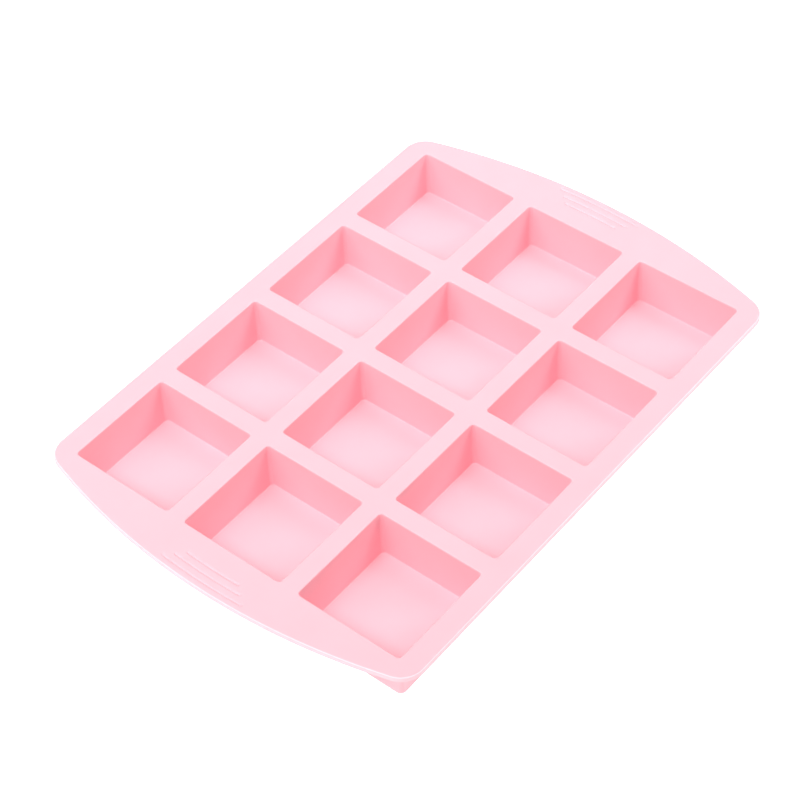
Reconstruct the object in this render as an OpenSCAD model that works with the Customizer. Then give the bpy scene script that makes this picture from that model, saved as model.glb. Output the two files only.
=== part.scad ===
// Silicone soap mould: a flat deck with square bar cups hanging from it.
// The cups stand in rows along X. Between two rows the deck is a thin web
// that bends, so each row of cups swings up on its neighbour.
// Origin: centre of the footprint, on the plane the cups stand on. Z is up.

/* [Cavities] */
// Spacing of the cups, centre to centre, both ways
pitch = 60; // [58:0.5:70]
// Width of a cavity at its mouth
mouth_w = 51; // [40:0.5:51]
// Width of a cavity at its floor
floor_w = 48.8; // [38:0.2:49]
// Depth from the top of the deck to a cavity's floor
cavity_depth = 22.4; // [12:0.2:40]
// Radius of a cavity's upright and floor edges
cavity_r = 1.5; // [0.8:0.1:4]

/* [Walls] */
// Thickness of a cup's side wall
wall_t = 1.4; // [1:0.1:2]
// Thickness of a cup's floor
floor_t = 3; // [1.2:0.1:4]
// Thickness of the deck
deck_t = 2.6; // [1.4:0.1:3]

/* [Deck outline] */
// Margin of deck outside the mouths along the long sides
side_margin = 10.45; // [6:0.05:25]
// Distance from the centre of the end cups to the crest of the bowed end
end_reach = 46.9; // [42:0.1:60]
// Radius of the bow at each end
bow_r = 312; // [250:1:600]
// Radius of the deck's corners
corner_r = 11; // [4:0.5:18]

/* [Flexing webs] */
// Width of the web that bends between two rows
web_w = 6; // [4:0.5:6]

/* [Grip grooves] */
// Number of grooves across each end
groove_count = 3; // [1:1:4]
// Width of a groove
groove_w = 1.4; // [0.8:0.1:2]
// Depth of a groove
groove_depth = 0.6; // [0.3:0.1:0.8]
// Distance from the crest of the bow to the middle of the outermost groove
groove_inset = 3.3; // [2:0.1:4]
// Spacing of the grooves
groove_pitch = 3.6; // [2.5:0.1:4]
// Length of the outermost groove
groove_len = 41; // [32:1:60]
// How much shorter each next groove is
groove_step = 7.3; // [0:0.1:8]

/* [Hidden] */
row_names = ["a", "b", "c", "d"];
col_names = ["1", "2", "3"];
rows = len(row_names);
cols = len(col_names);
row_ids = [for (r = [0 : rows - 1]) r];
col_ids = [for (c = [0 : cols - 1]) c];

height = floor_t + cavity_depth;
deck_z = height - deck_t;
deck_w = (cols - 1) * pitch + mouth_w + 2 * side_margin;
crest_x = (rows - 1) / 2 * pitch + end_reach;
bow_x = crest_x - bow_r;
// Each corner's arc touches the straight side and the bow
corner_y = deck_w / 2 - corner_r;
corner_x = bow_x + sqrt(pow(bow_r - corner_r, 2) - corner_y * corner_y);
// Height of the upright rim that joins a cup to the deck
rim_h = 0.4;
hull_fn = 24;
round_fn = 96;
bow_fn = 360;

function row_x(r) = (r - (rows - 1) / 2) * pitch;
function col_y(c) = (c - (cols - 1) / 2) * pitch;
function web_x(r) = row_x(r) + pitch / 2;

function panel_name(r) = str("deck_row_", row_names[r]);
function web_name(r) = str("flex_web_", row_names[r], row_names[r + 1]);
function cup_name(r, c) = str("cup_", row_names[r], col_names[c]);

// Four places at the corners of a square of the given half width
module at_corners(half) {
    for (sx = [-1, 1], sy = [-1, 1]) {
        translate([sx * half, sy * half, 0]) children();
    }
}

// Square with round corners, built from true arcs
module round_square(w, r) {
    square([w, w - 2 * r], center = true);
    square([w - 2 * r, w], center = true);
    at_corners(w / 2 - r) circle(r, $fn = round_fn);
}

// What the arc of one corner takes off the crossing of side and bow
module corner_offcut() {
    reach = sqrt(pow(corner_x - bow_x, 2) + corner_y * corner_y);
    bow_touch = [
        bow_x + (corner_x - bow_x) * bow_r / reach,
        corner_y * bow_r / reach
    ];
    difference() {
        polygon([
            [corner_x, corner_y],
            [corner_x, deck_w / 2],
            [corner_x, deck_w / 2 + corner_r],
            [crest_x + corner_r, deck_w / 2 + corner_r],
            [crest_x + corner_r, bow_touch[1]],
            bow_touch
        ]);
        translate([corner_x, corner_y]) circle(corner_r, $fn = round_fn);
    }
}

// Outline of the whole deck: straight sides, bowed ends, round corners
module deck_outline() {
    difference() {
        intersection() {
            square([2 * crest_x + corner_r, deck_w], center = true);
            translate([bow_x, 0]) circle(bow_r, $fn = bow_fn);
            translate([-bow_x, 0]) circle(bow_r, $fn = bow_fn);
        }
        for (mx = [0, 1], my = [0, 1]) {
            mirror([mx, 0]) mirror([0, my]) corner_offcut();
        }
    }
}

// The part of the deck between two places along X
module deck_strip(x_from, x_to) {
    translate([0, 0, deck_z]) linear_extrude(deck_t) intersection() {
        deck_outline();
        translate([x_from, -deck_w]) square([x_to - x_from, 2 * deck_w]);
    }
}

// Plan of a groove with round ends, bent round the centre of the bow
module groove_plan(centre_r, length) {
    half_angle = length / centre_r * 90 / PI;
    far = [cos(half_angle), sin(half_angle)] * 2 * centre_r;
    intersection() {
        difference() {
            circle(centre_r + groove_w / 2, $fn = bow_fn);
            circle(centre_r - groove_w / 2, $fn = bow_fn);
        }
        polygon([[0, 0], [far[0], -far[1]], far]);
    }
    for (s = [-1, 1]) {
        rotate(s * half_angle)
            translate([centre_r, 0]) circle(groove_w / 2, $fn = round_fn);
    }
}

// What the grooves of the +X end take off the deck, the longest nearest
// the edge
module grip_grooves() {
    for (k = [0 : groove_count - 1]) {
        translate([bow_x, 0, height - groove_depth])
            linear_extrude(2 * groove_depth)
                groove_plan(
                    bow_r - groove_inset - k * groove_pitch,
                    groove_len - k * groove_step
                );
    }
}

// One row's panel of the deck, with the mouths of its cups. The first and
// the last row's panels carry the bowed ends, with their grip grooves.
module deck_row(r) {
    x_from = r == 0 ? -crest_x - 1 : web_x(r - 1) + web_w / 2;
    x_to = r == rows - 1 ? crest_x + 1 : web_x(r) - web_w / 2;
    color("pink") difference() {
        deck_strip(x_from, x_to);
        for (c = col_ids) {
            translate([row_x(r), col_y(c), deck_z - 1])
                linear_extrude(deck_t + 2) round_square(mouth_w, cavity_r);
        }
        if (r == 0) mirror([1, 0, 0]) grip_grooves();
        if (r == rows - 1) grip_grooves();
    }
}

// The strip of deck that bends between row r and the next one
module flex_web(r) {
    color("lightpink")
        deck_strip(web_x(r) - web_w / 2, web_x(r) + web_w / 2);
}

// Block with drafted sides, round edges and a flat bottom. Its sides are
// upright in the last stretch, from z_rim up.
module drafted_block(rim_half, bottom_half, z_bottom, z_rim, rim_h, edge_r) {
    hull() {
        translate([0, 0, z_bottom]) linear_extrude(edge_r)
            square(2 * (bottom_half - edge_r), center = true);
        translate([0, 0, z_bottom + edge_r])
            at_corners(bottom_half - edge_r) sphere(edge_r, $fn = hull_fn);
        translate([0, 0, z_rim]) at_corners(rim_half - edge_r)
            cylinder(h = rim_h, r = edge_r, $fn = hull_fn);
    }
}

// Thin-walled square cup, open at the top, hanging under the deck
module cup(r, c) {
    mouth_half = mouth_w / 2;
    floor_half = floor_w / 2;
    color("hotpink") translate([row_x(r), col_y(c), 0]) difference() {
        drafted_block(
            mouth_half + wall_t, floor_half + wall_t,
            0, deck_z - rim_h, rim_h, cavity_r + wall_t
        );
        drafted_block(
            mouth_half, floor_half,
            floor_t, deck_z - rim_h, 2 * rim_h, cavity_r
        );
    }
}

for (r = row_ids) {
    deck_row(r);
}
for (r = [0 : rows - 2]) {
    flex_web(r);
}
for (r = row_ids, c = col_ids) {
    cup(r, c);
}
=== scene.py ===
import math

import bmesh
import bpy
from mathutils import Euler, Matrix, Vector
from mathutils.geometry import tessellate_polygon
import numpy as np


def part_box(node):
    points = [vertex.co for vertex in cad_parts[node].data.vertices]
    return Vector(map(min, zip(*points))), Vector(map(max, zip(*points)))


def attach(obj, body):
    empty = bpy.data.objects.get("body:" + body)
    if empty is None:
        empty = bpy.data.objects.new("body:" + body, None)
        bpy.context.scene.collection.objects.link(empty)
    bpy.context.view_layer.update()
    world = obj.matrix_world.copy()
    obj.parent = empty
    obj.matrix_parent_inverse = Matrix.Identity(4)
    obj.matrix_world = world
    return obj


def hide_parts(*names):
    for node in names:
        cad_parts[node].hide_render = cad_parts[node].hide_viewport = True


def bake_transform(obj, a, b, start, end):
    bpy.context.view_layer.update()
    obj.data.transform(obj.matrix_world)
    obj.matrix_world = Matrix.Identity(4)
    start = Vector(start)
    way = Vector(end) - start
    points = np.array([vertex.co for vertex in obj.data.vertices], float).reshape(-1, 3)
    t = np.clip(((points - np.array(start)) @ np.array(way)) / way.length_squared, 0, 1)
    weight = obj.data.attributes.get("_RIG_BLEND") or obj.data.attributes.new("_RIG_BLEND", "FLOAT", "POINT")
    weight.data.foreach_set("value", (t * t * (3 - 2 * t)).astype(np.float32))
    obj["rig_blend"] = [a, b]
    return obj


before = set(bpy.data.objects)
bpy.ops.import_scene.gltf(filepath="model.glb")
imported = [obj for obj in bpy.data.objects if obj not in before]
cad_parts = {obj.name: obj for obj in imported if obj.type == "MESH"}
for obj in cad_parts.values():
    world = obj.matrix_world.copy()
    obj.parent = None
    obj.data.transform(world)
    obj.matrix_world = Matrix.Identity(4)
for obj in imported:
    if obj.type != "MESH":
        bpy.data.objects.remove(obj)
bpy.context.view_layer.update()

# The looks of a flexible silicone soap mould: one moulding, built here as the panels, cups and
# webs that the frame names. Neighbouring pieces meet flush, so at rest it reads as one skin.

MM = 0.001
ROWS = "abcd"
COLUMNS = "123"
# The rows whose panels carry a bowed end: -1 for the end at -X, 1 for the end at +X
END_SIDES = {ROWS[0]: -1, ROWS[-1]: 1}
# The vertex attribute that says how much painted light the rim's colour gets, a painted highlight line and a
# painted lit side, from 0 to 1. The cups have none.
PAINTED_RIM_LIGHT = "painted_rim_light"

# ---- sizes that the frame gives

deck_low, deck_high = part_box("deck_row_b")
cup_low, cup_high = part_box("cup_b2")
_, end_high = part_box("deck_row_d")
TOP = deck_high.z
UNDER = deck_low.z
CUP_BOTTOM = cup_low.z
SIDE_Y = end_high.y
CREST_X = end_high.x

# ---- sizes of the moulding that no box gives

WALL = 1.4 * MM
FLOOR_TOP = 3.0 * MM
DRAFT = math.radians(2.8)
MOUTH_HALF = (cup_high.x - cup_low.x) / 2 - WALL
BOW_R = 312 * MM
CORNER_R = 11 * MM

MOUTH_CORNER_R = 1.6 * MM
FLOOR_CORNER_R = 2.0 * MM
LIP_R = 0.45 * MM
FLOOR_FILLET = 0.5 * MM
OUTER_BOTTOM_R = 2.4 * MM
OUTER_CORNER_R = 3.0 * MM
ROOT_FILLET = 0.5 * MM
RIM_TOP_R = 0.8 * MM
RIM_UNDER_R = 0.6 * MM
# Width of the narrow flat strip beside a rounding, which keeps its shading off the flat
SUPPORT = 0.3 * MM

GROOVE_WIDTH = 1.8 * MM
GROOVE_DEPTH = 0.4 * MM
# From the crest of the bow to the middle of the outermost groove
GROOVE_INSET = 3.3 * MM
GROOVE_PITCH = 3.6 * MM
GROOVE_LENGTHS = (41 * MM, 33.7 * MM, 26.4 * MM)

# ---- the painted highlight and painted light on the rim

# The stretch of the rim's upper rounding, as angles from its top, that carries a painted highlight line
PAINTED_HIGHLIGHT_START = math.radians(20)
PAINTED_HIGHLIGHT_END = math.radians(45)
# How far the rim's colour goes toward near white: on the painted highlight line, and as painted light on the
# rim's side and lower rounding
PAINTED_HIGHLIGHT_SHARE = 0.6
PAINTED_SIDE_LIGHT_SHARE = 0.22

# ---- fineness of the meshes

CORNER_STEPS = 10
ROUND_STEPS = 7
DECK_CORNER_STEPS = 14
BOW_STEPS = 64
WEB_STEPS = 18
GROOVE_STEPS = 48
GROOVE_LEVELS = 8
# Edges that bend more than this stay sharp
SHARP_ANGLE = math.radians(35)


def row_centre(row):
    """The X of a row of cups."""
    low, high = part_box(f"cup_{row}1")
    return (low.x + high.x) / 2


def column_centre(column):
    """The Y of a column of cups."""
    low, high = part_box(f"cup_a{column}")
    return (low.y + high.y) / 2


# ---- mesh building


def add_ring(bm, points):
    """New vertices at the points, in their order."""
    return [bm.verts.new(p) for p in points]


def mark_painted_rim_light(bm, ring, shares):
    """Note at each vertex its share of the rim's painted light: a painted highlight line, and painted light
    on the side.
    """
    layer = bm.verts.layers.float[PAINTED_RIM_LIGHT]
    for vert, share in zip(ring, shares):
        vert[layer] = share


def bridge(bm, one, other, closed=True):
    """Quads between two rings, or two open lines, of as many points."""
    count = len(one)
    for i in range(count if closed else count - 1):
        j = (i + 1) % count
        bm.faces.new((one[i], one[j], other[j], other[i]))


def bridge_all(bm, rings, closed=True):
    """Quads between each ring, or open line, and the next."""
    for one, other in zip(rings, rings[1:]):
        bridge(bm, one, other, closed)


def fill(bm, loops):
    """Triangles that cover the flat region inside the first loop and outside the others."""
    verts = [v for loop in loops for v in loop]
    for corners in tessellate_polygon([[v.co for v in loop] for loop in loops]):
        bm.faces.new([verts[i] for i in corners])


def finish_piece(bm, name, material):
    """A smooth-shaded object whose corners stay sharp."""
    bmesh.ops.recalc_face_normals(bm, faces=bm.faces)
    for face in bm.faces:
        face.smooth = True
    for edge in bm.edges:
        edge.smooth = edge.calc_face_angle(math.pi) < SHARP_ANGLE
    mesh = bpy.data.meshes.new(name)
    bm.to_mesh(mesh)
    bm.free()
    piece = bpy.data.objects.new(name, mesh)
    bpy.context.scene.collection.objects.link(piece)
    piece.data.materials.append(material)
    return piece


# ---- outlines


def square_ring(centre, half, radius, z):
    """A square with round corners, counter-clockwise from its +X +Y corner."""
    points = []
    for turn, (sx, sy) in enumerate([(1, 1), (-1, 1), (-1, -1), (1, -1)]):
        for i in range(CORNER_STEPS + 1):
            angle = math.pi / 2 * (turn + i / CORNER_STEPS)
            x = centre[0] + sx * (half - radius) + radius * math.cos(angle)
            y = centre[1] + sy * (half - radius) + radius * math.sin(angle)
            points.append(Vector((x, y, z)))
    return points


def arc(centre, radius, start, end, steps):
    """(point, outward normal) along an arc."""
    made = []
    for i in range(steps + 1):
        angle = start + (end - start) * i / steps
        normal = Vector((math.cos(angle), math.sin(angle)))
        made.append((centre + normal * radius, normal))
    return made


def bowed_end_path(seam_x):
    """The rim of the +X end, from the seam at the -Y side round to the seam at the +Y side."""
    bow_centre = Vector((CREST_X - BOW_R, 0))
    corner_y = SIDE_Y - CORNER_R
    reach = math.sqrt((BOW_R - CORNER_R) ** 2 - corner_y**2)
    corner = bow_centre + Vector((reach, corner_y))
    near_corner = Vector((corner.x, -corner.y))
    # the angle at which a corner's arc touches the bow
    meet = math.asin(corner_y / (BOW_R - CORNER_R))
    path = [(Vector((seam_x, -SIDE_Y)), Vector((0, -1)))]
    path += arc(near_corner, CORNER_R, -math.pi / 2, -meet, DECK_CORNER_STEPS)
    path += arc(bow_centre, BOW_R, -meet, meet, BOW_STEPS)[1:]
    path += arc(corner, CORNER_R, meet, math.pi / 2, DECK_CORNER_STEPS)[1:]
    path.append((Vector((seam_x, SIDE_Y)), Vector((0, 1))))
    return path


def rim_paths(row):
    """The stretches of rim of a row's panel, counter-clockwise.

    Each is a list of (point, outward normal).
    """
    low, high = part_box(f"deck_row_{row}")
    if row == ROWS[-1]:
        return [bowed_end_path(low.x)]
    if row == ROWS[0]:
        return [[(-p, -n) for p, n in bowed_end_path(-high.x)]]
    down, up = Vector((0, -1)), Vector((0, 1))
    return [
        [(Vector((low.x, -SIDE_Y)), down), (Vector((high.x, -SIDE_Y)), down)],
        [(Vector((high.x, SIDE_Y)), up), (Vector((low.x, SIDE_Y)), up)],
    ]


def groove_ring(side, radius, length, half_width, z):
    """The outline of a groove with round ends that follows the bow at +X (side 1) or -X (side -1).

    It runs along the outer edge and round one end, then back along the inner edge.
    """
    half_angle = length / 2 / radius
    made = []
    for way in (1, -1):
        edge = radius + way * half_width
        for i in range(GROOVE_STEPS + 1):
            angle = way * half_angle * (2 * i / GROOVE_STEPS - 1)
            made.append((edge * math.cos(angle), edge * math.sin(angle)))
        cap_x = radius * math.cos(half_angle)
        cap_y = way * radius * math.sin(half_angle)
        start = half_angle if way == 1 else math.pi - half_angle
        for i in range(1, CORNER_STEPS):
            angle = start + math.pi * i / CORNER_STEPS
            x = cap_x + half_width * math.cos(angle)
            y = cap_y + half_width * math.sin(angle)
            made.append((x, y))
    return [(side * (CREST_X - BOW_R + x), y, z) for x, y in made]


# ---- profiles


def quarter():
    """Angles from 0 to a quarter turn."""
    return [math.pi / 2 * i / ROUND_STEPS for i in range(ROUND_STEPS + 1)]


def rounding(radius):
    """(one way, the other way) along a rounded edge, from (radius, 0) to (0, radius)."""
    return [(radius * (1 - math.sin(t)), radius * (1 - math.cos(t))) for t in quarter()]


def painted_rim_light_share(angle):
    """The rim's share of painted light, at an angle round its upper edge: a painted highlight line, and
    painted light on the side below it.
    """
    if angle < PAINTED_HIGHLIGHT_START:
        return 0
    return PAINTED_HIGHLIGHT_SHARE if angle < PAINTED_HIGHLIGHT_END else PAINTED_SIDE_LIGHT_SHARE


def rim_profile():
    """(inset, z, share of painted rim light) round the deck's edge, from its top to its underside."""
    upper = zip(rounding(RIM_TOP_R), quarter())
    return [
        (RIM_TOP_R + SUPPORT, TOP, 0),
        *((inset, TOP - down, painted_rim_light_share(t)) for (inset, down), t in upper),
        *((inset, UNDER + up, PAINTED_SIDE_LIGHT_SHARE) for up, inset in rounding(RIM_UNDER_R)),
        (RIM_UNDER_R + SUPPORT, UNDER, 0),
    ]


def lip_profile():
    """(how far outside the cavity's wall, z) from the deck's top down through a mouth."""
    return [
        (LIP_R + SUPPORT, TOP),
        *((out, TOP - down) for out, down in rounding(LIP_R)),
        (0, UNDER),
    ]


def groove_profile():
    """(half width, z) from a groove's edge down to its narrow bottom, with no hard corner."""
    made = [(GROOVE_WIDTH / 2 + SUPPORT, TOP)]
    for i in range(GROOVE_LEVELS):
        share = 1 - i / GROOVE_LEVELS
        depth = GROOVE_DEPTH * math.cos(math.pi / 2 * share) ** 2
        made.append((GROOVE_WIDTH / 2 * share, TOP - depth))
    return made


def wall_half(z):
    """Half the width of a cavity at a height."""
    return MOUTH_HALF - (TOP - z) * math.tan(DRAFT)


def corner_radius(z):
    """Radius of a cavity's upright edge at a height."""
    share = (TOP - z) / (TOP - FLOOR_TOP)
    return MOUTH_CORNER_R + (FLOOR_CORNER_R - MOUTH_CORNER_R) * share


def with_flat(profile, z):
    """A cup's profile with one more ring, on the flat at its end."""
    half, radius, _ = profile[-1]
    return [*profile, (half - SUPPORT, radius - SUPPORT, z)]


def cavity_profile():
    """(half width, corner radius, z) down the inside of a cup."""
    wall = (UNDER, FLOOR_TOP + FLOOR_FILLET + SUPPORT)
    profile = [(wall_half(z), corner_radius(z), z) for z in wall]
    for up, inset in rounding(FLOOR_FILLET):
        z = FLOOR_TOP + up
        profile.append((wall_half(z) - inset, FLOOR_CORNER_R - inset, z))
    return with_flat(profile, FLOOR_TOP)


def outside_profile():
    """(half width, corner radius, z) down the outside of a cup."""
    profile = []
    for down, flare in reversed(rounding(ROOT_FILLET)):
        z = UNDER - down
        profile.append((wall_half(z) + WALL + flare, OUTER_CORNER_R + flare, z))
    for up, inset in rounding(OUTER_BOTTOM_R):
        z = CUP_BOTTOM + up
        profile.append((wall_half(z) + WALL - inset, OUTER_CORNER_R - inset, z))
    return with_flat(profile, CUP_BOTTOM)


# ---- pieces


def rim(bm, row):
    """The rounded rim of a row's panel, and the flat cuts where the webs join.

    Gives the outlines that it leaves open in the deck's top and in its underside.
    """
    profile = rim_profile()
    stretches = []
    for path in rim_paths(row):
        lines = [
            add_ring(bm, [(*(p - n * inset), z) for p, n in path]) for inset, z, _ in profile
        ]
        # Each line of the rim gets its share of painted light: a painted highlight on the upper rounding,
        # painted light on the side
        for line, (_, _, share) in zip(lines, profile):
            mark_painted_rim_light(bm, line, [share] * len(line))
        bridge_all(bm, lines, closed=False)
        stretches.append(lines)
    for lines, next_lines in zip(stretches, stretches[1:] + stretches[:1]):
        cut = [line[-1] for line in lines] + [line[0] for line in reversed(next_lines)]
        bm.faces.new(cut)
    top = [v for lines in stretches for v in lines[0]]
    bottom = [v for lines in stretches for v in lines[-1]]
    return top, bottom


def grip_groove(bm, side, radius, length):
    """One groove across a bowed end. Gives its outline in the deck's top."""
    rings = [
        add_ring(bm, groove_ring(side, radius, length, half_width, z))
        for half_width, z in groove_profile()
    ]
    bridge_all(bm, rings)
    fill(bm, [rings[-1]])
    return rings[0]


def mouth(bm, row, column):
    """One mouth with its lip. Gives its outlines in the deck's top and in its underside."""
    centre = (row_centre(row), column_centre(column))
    rings = [
        add_ring(bm, square_ring(centre, wall_half(z) + out, corner_radius(z) + out, z))
        for out, z in lip_profile()
    ]
    bridge_all(bm, rings)
    return rings[0], rings[-1]


def deck_panel(row, material):
    """One row's panel of the deck, with its three mouths.

    The first and the last row's panels have three grip grooves across their bowed ends.
    """
    bm = bmesh.new()
    bm.verts.layers.float.new(PAINTED_RIM_LIGHT)
    top, bottom = rim(bm, row)
    tops, bottoms = [top], [bottom]
    if row in END_SIDES:
        for number, length in enumerate(GROOVE_LENGTHS):
            radius = BOW_R - GROOVE_INSET - number * GROOVE_PITCH
            tops.append(grip_groove(bm, END_SIDES[row], radius, length))
    for column in COLUMNS:
        mouth_top, mouth_bottom = mouth(bm, row, column)
        tops.append(mouth_top)
        bottoms.append(mouth_bottom)
    fill(bm, tops)
    fill(bm, bottoms)
    piece = finish_piece(bm, f"deck_panel_{row}", material)
    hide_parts(f"deck_row_{row}")
    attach(piece, f"row_{row}")


def cup_shell(row, column, material):
    """One thin-walled cup, open at the top, with a filleted floor and rounded outer edges."""
    bm = bmesh.new()
    centre = (row_centre(row), column_centre(column))
    inner = [add_ring(bm, square_ring(centre, *level)) for level in cavity_profile()]
    outer = [add_ring(bm, square_ring(centre, *level)) for level in outside_profile()]
    for rings in (inner, outer):
        bridge_all(bm, rings)
        fill(bm, [rings[-1]])
    bridge(bm, inner[0], outer[0])
    piece = finish_piece(bm, f"cup_shell_{row}{column}", material)
    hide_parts(f"cup_{row}{column}")
    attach(piece, f"row_{row}")


def web_strip(row, next_row, material):
    """The strip of deck between two panels, fine enough along X to bend."""
    node = f"flex_web_{row}{next_row}"
    low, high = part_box(node)
    profile = rim_profile()
    section = [(-SIDE_Y + inset, z, share) for inset, z, share in profile]
    section += [(SIDE_Y - inset, z, share) for inset, z, share in reversed(profile)]
    shares = [share for _, _, share in section]
    bm = bmesh.new()
    bm.verts.layers.float.new(PAINTED_RIM_LIGHT)
    rings = []
    for i in range(WEB_STEPS + 1):
        x = low.x + (high.x - low.x) * i / WEB_STEPS
        rings.append(add_ring(bm, [(x, y, z) for y, z, _ in section]))
        # The strip's rim gets the same painted highlight and painted side light as the panels' rims
        mark_painted_rim_light(bm, rings[-1], shares)
    bridge_all(bm, rings)
    bm.faces.new(rings[0])
    bm.faces.new(rings[-1])
    piece = finish_piece(bm, f"web_strip_{row}{next_row}", material)
    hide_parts(node)
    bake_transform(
        piece, f"row_{row}", f"row_{next_row}", start=(low.x, 0, TOP), end=(high.x, 0, TOP)
    )


# ---- silicone

SILICONE = (0.975, 0.53, 0.593)
# The near white that the rim's colour is mixed toward, for its painted highlight line and painted light on
# its side
PAINTED_RIM_LIGHT_COLOUR = (0.98, 0.85, 0.9, 1)
SILICONE_IOR = 1.41
SILICONE_SPECULAR = 0.5
NOISE_ROUGHNESS = 0.55

# Noises as (scale, detail)
PIGMENT_NOISE = (55, 3)
SKIN_NOISE = (90, 4)
GRAIN_NOISE = (2600, 2)
WAVE_NOISE = (40, 2)

# How much darker or lighter in green and blue the pigment gets, and over which part of its noise
PIGMENT_SPREAD = 0.015
PIGMENT_RANGE = (0.3, 0.7)
# How rough the smooth and the dull patches of skin are, and over which part of their noise
SKIN_ROUGHNESS = (0.48, 0.58)
SKIN_RANGE = (0.35, 0.65)
# What a full share of the rim's painted light mask adds to the roughness
EDGE_POLISH = -0.3
# Bumps as (strength, distance)
GRAIN_BUMP = (0.25, 0.03 * MM)
WAVE_BUMP = (0.3, 0.2 * MM)


def set_inputs(node, values):
    """Set a node's inputs by their names."""
    for name, value in values.items():
        node.inputs[name].default_value = value


def noise(tree, place, scale, detail):
    """The output of a noise that stays put on its piece."""
    node = tree.nodes.new("ShaderNodeTexNoise")
    set_inputs(node, {"Scale": scale, "Detail": detail, "Roughness": NOISE_ROUGHNESS})
    tree.links.new(place.outputs["Object"], node.inputs["Vector"])
    return node.outputs["Fac"]


def bump(tree, height, strength, distance):
    """A bump node on a height."""
    node = tree.nodes.new("ShaderNodeBump")
    set_inputs(node, {"Strength": strength, "Distance": distance})
    tree.links.new(height, node.inputs["Height"])
    return node


def silicone():
    """Matt pink silicone with faintly mottled pigment, a fine grain, smoother patches, and a painted
    highlight and painted light on the rim.
    """
    material = bpy.data.materials.new("silicone")
    material.use_nodes = True
    tree = material.node_tree
    shader = tree.nodes["Principled BSDF"]
    set_inputs(shader, {"IOR": SILICONE_IOR, "Specular IOR Level": SILICONE_SPECULAR})
    place = tree.nodes.new("ShaderNodeTexCoord")
    # The mask of the rim's painted highlight and painted side light
    edge = tree.nodes.new("ShaderNodeAttribute")
    edge.attribute_name = PAINTED_RIM_LIGHT

    red, green, blue = SILICONE
    pigment = tree.nodes.new("ShaderNodeValToRGB")
    shades = (1 - PIGMENT_SPREAD, 1 + PIGMENT_SPREAD)
    for stop, position, shade in zip(pigment.color_ramp.elements, PIGMENT_RANGE, shades):
        stop.position = position
        stop.color = (red, green * shade, blue * shade, 1)
    tree.links.new(noise(tree, place, *PIGMENT_NOISE), pigment.inputs["Fac"])
    # The rim's colour is mixed toward near white by its mask: a painted highlight line and painted light on
    # the side
    painted_rim_light_mix = tree.nodes.new("ShaderNodeMixRGB")
    set_inputs(painted_rim_light_mix, {"Color2": PAINTED_RIM_LIGHT_COLOUR})
    tree.links.new(edge.outputs["Fac"], painted_rim_light_mix.inputs["Fac"])
    tree.links.new(pigment.outputs["Color"], painted_rim_light_mix.inputs["Color1"])
    tree.links.new(painted_rim_light_mix.outputs["Color"], shader.inputs["Base Color"])

    skin = tree.nodes.new("ShaderNodeMapRange")
    set_inputs(skin, {"From Min": SKIN_RANGE[0], "From Max": SKIN_RANGE[1]})
    set_inputs(skin, {"To Min": SKIN_ROUGHNESS[0], "To Max": SKIN_ROUGHNESS[1]})
    tree.links.new(noise(tree, place, *SKIN_NOISE), skin.inputs["Value"])
    polish = tree.nodes.new("ShaderNodeMath")
    polish.operation = "MULTIPLY_ADD"
    polish.inputs[1].default_value = EDGE_POLISH
    tree.links.new(edge.outputs["Fac"], polish.inputs[0])
    tree.links.new(skin.outputs["Result"], polish.inputs[2])
    tree.links.new(polish.outputs["Value"], shader.inputs["Roughness"])

    grain = bump(tree, noise(tree, place, *GRAIN_NOISE), *GRAIN_BUMP)
    wave = bump(tree, noise(tree, place, *WAVE_NOISE), *WAVE_BUMP)
    tree.links.new(grain.outputs["Normal"], wave.inputs["Normal"])
    tree.links.new(wave.outputs["Normal"], shader.inputs["Normal"])
    return material


# ---- the photographer's table

SENSOR_WIDTH = 36
FOCAL_LENGTH = 101.66
CLIP_START = 0.05
CLIP_END = 50
# From the middle of the deck's top to the camera
CAMERA_OFFSET = Vector((-0.48997, -0.42510, 0.69285))
# Degrees about X, Y and Z
CAMERA_TURN = (42.584, 2.3235, -51.0109)


def set_camera():
    """The long-lens view from the -X -Y side."""
    camera = bpy.data.cameras.new("camera")
    camera.sensor_width = SENSOR_WIDTH
    camera.lens = FOCAL_LENGTH
    camera.clip_start = CLIP_START
    camera.clip_end = CLIP_END
    holder = bpy.data.objects.new("camera", camera)
    holder.location = Vector((0, 0, TOP)) + CAMERA_OFFSET
    holder.rotation_euler = Euler([math.radians(a) for a in CAMERA_TURN])
    bpy.context.scene.collection.objects.link(holder)
    bpy.context.scene.camera = holder


WHITE = (1, 1, 1, 1)
FLOOR_HALF = 6.0
FLOOR_WHITE = (0.6, 0.6, 0.6, 1)
FLOOR_ROUGHNESS = 0.9
FLOOR_GLOW = 0.8


def set_floor():
    """A white table, far wider than the view, lit through so that it takes hardly any shadow."""
    bm = bmesh.new()
    corners = [(-1, -1), (1, -1), (1, 1), (-1, 1)]
    bm.faces.new(add_ring(bm, [(x * FLOOR_HALF, y * FLOOR_HALF, 0) for x, y in corners]))
    mesh = bpy.data.meshes.new("floor")
    bm.to_mesh(mesh)
    bm.free()
    floor = bpy.data.objects.new("floor", mesh)
    bpy.context.scene.collection.objects.link(floor)
    material = bpy.data.materials.new("floor")
    material.use_nodes = True
    looks = {
        "Base Color": FLOOR_WHITE,
        "Roughness": FLOOR_ROUGHNESS,
        "Specular IOR Level": 0,
        "Emission Color": WHITE,
        "Emission Strength": FLOOR_GLOW,
    }
    set_inputs(material.node_tree.nodes["Principled BSDF"], looks)
    floor.data.materials.append(material)


ROOM_STRENGTH = 0.31
BACKDROP_STRENGTH = 1.0
SOFTBOX_SIZE = 1.3
SOFTBOX_DISTANCE = 1.9
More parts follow.
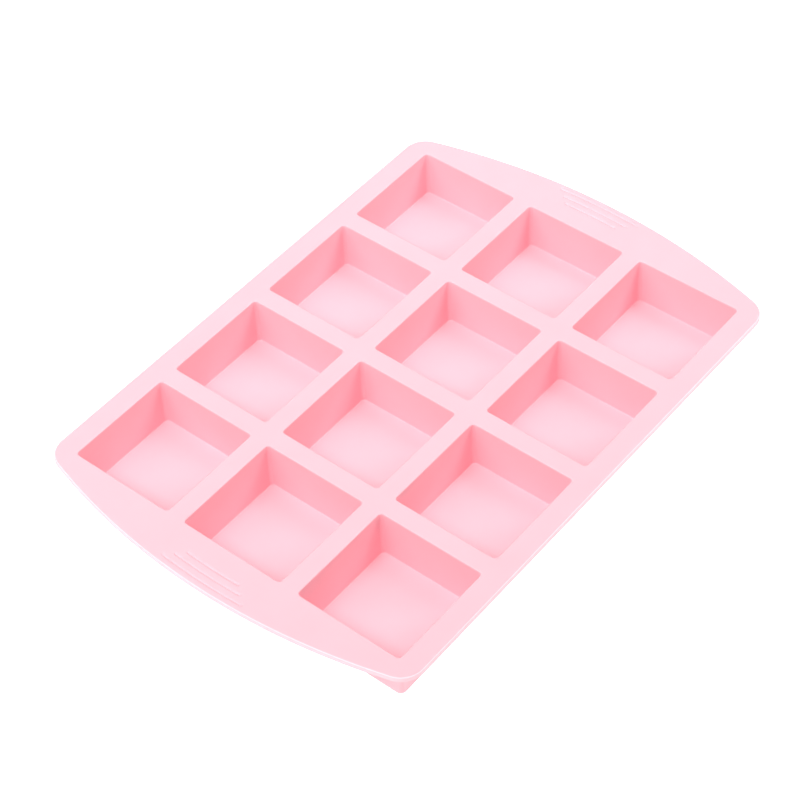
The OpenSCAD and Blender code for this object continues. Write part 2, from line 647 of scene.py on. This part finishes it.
# (name, azimuth and elevation in degrees, power in watts)
SOFTBOXES = [
    ("high_left", 180, 66, 44.4),
    ("right", 315, 45, 46.4),
    ("left", 135, 45, 17.8),
]
# A little warm, as the photo's red is at its limit nearly all over the tray
SOFTBOX_COLOUR = (1, 0.91, 0.91)
# The softboxes face a place on the table far behind the tray, which makes its far end as bright
# as the near one
SOFTBOX_AIM = Vector((4, 3, 0))


def softbox(name, azimuth, elevation, power):
    """A round softbox that stands in a direction from the tray."""
    light = bpy.data.lights.new(name, "AREA")
    light.shape = "DISK"
    light.size = SOFTBOX_SIZE
    light.energy = power
    light.color = SOFTBOX_COLOUR
    holder = bpy.data.objects.new(name, light)
    turn, lift = math.radians(azimuth), math.radians(elevation)
    holder.location = SOFTBOX_DISTANCE * Vector(
        (math.cos(lift) * math.cos(turn), math.cos(lift) * math.sin(turn), math.sin(lift))
    )
    holder.rotation_euler = (holder.location - SOFTBOX_AIM).to_track_quat("Z", "Y").to_euler()
    bpy.context.scene.collection.objects.link(holder)


def set_light():
    """A dim white room, with softboxes high on the left and to either side."""
    scene = bpy.context.scene
    scene.view_settings.view_transform = "Standard"
    world = bpy.data.worlds.new("white_room")
    scene.world = world
    world.use_nodes = True
    nodes, links = world.node_tree.nodes, world.node_tree.links
    background = nodes["Background"]
    set_inputs(background, {"Color": WHITE})
    # the room lights the tray dimly, and looks as white as the table behind it
    ray = nodes.new("ShaderNodeLightPath")
    strength = nodes.new("ShaderNodeMapRange")
    set_inputs(strength, {"To Min": ROOM_STRENGTH, "To Max": BACKDROP_STRENGTH})
    links.new(ray.outputs["Is Camera Ray"], strength.inputs["Value"])
    links.new(strength.outputs["Result"], background.inputs["Strength"])
    for box in SOFTBOXES:
        softbox(*box)


set_camera()
set_floor()
set_light()
silicone_material = silicone()
for row in ROWS:
    deck_panel(row, silicone_material)
    for column in COLUMNS:
        cup_shell(row, column, silicone_material)
for row, next_row in zip(ROWS, ROWS[1:]):
    web_strip(row, next_row, silicone_material)
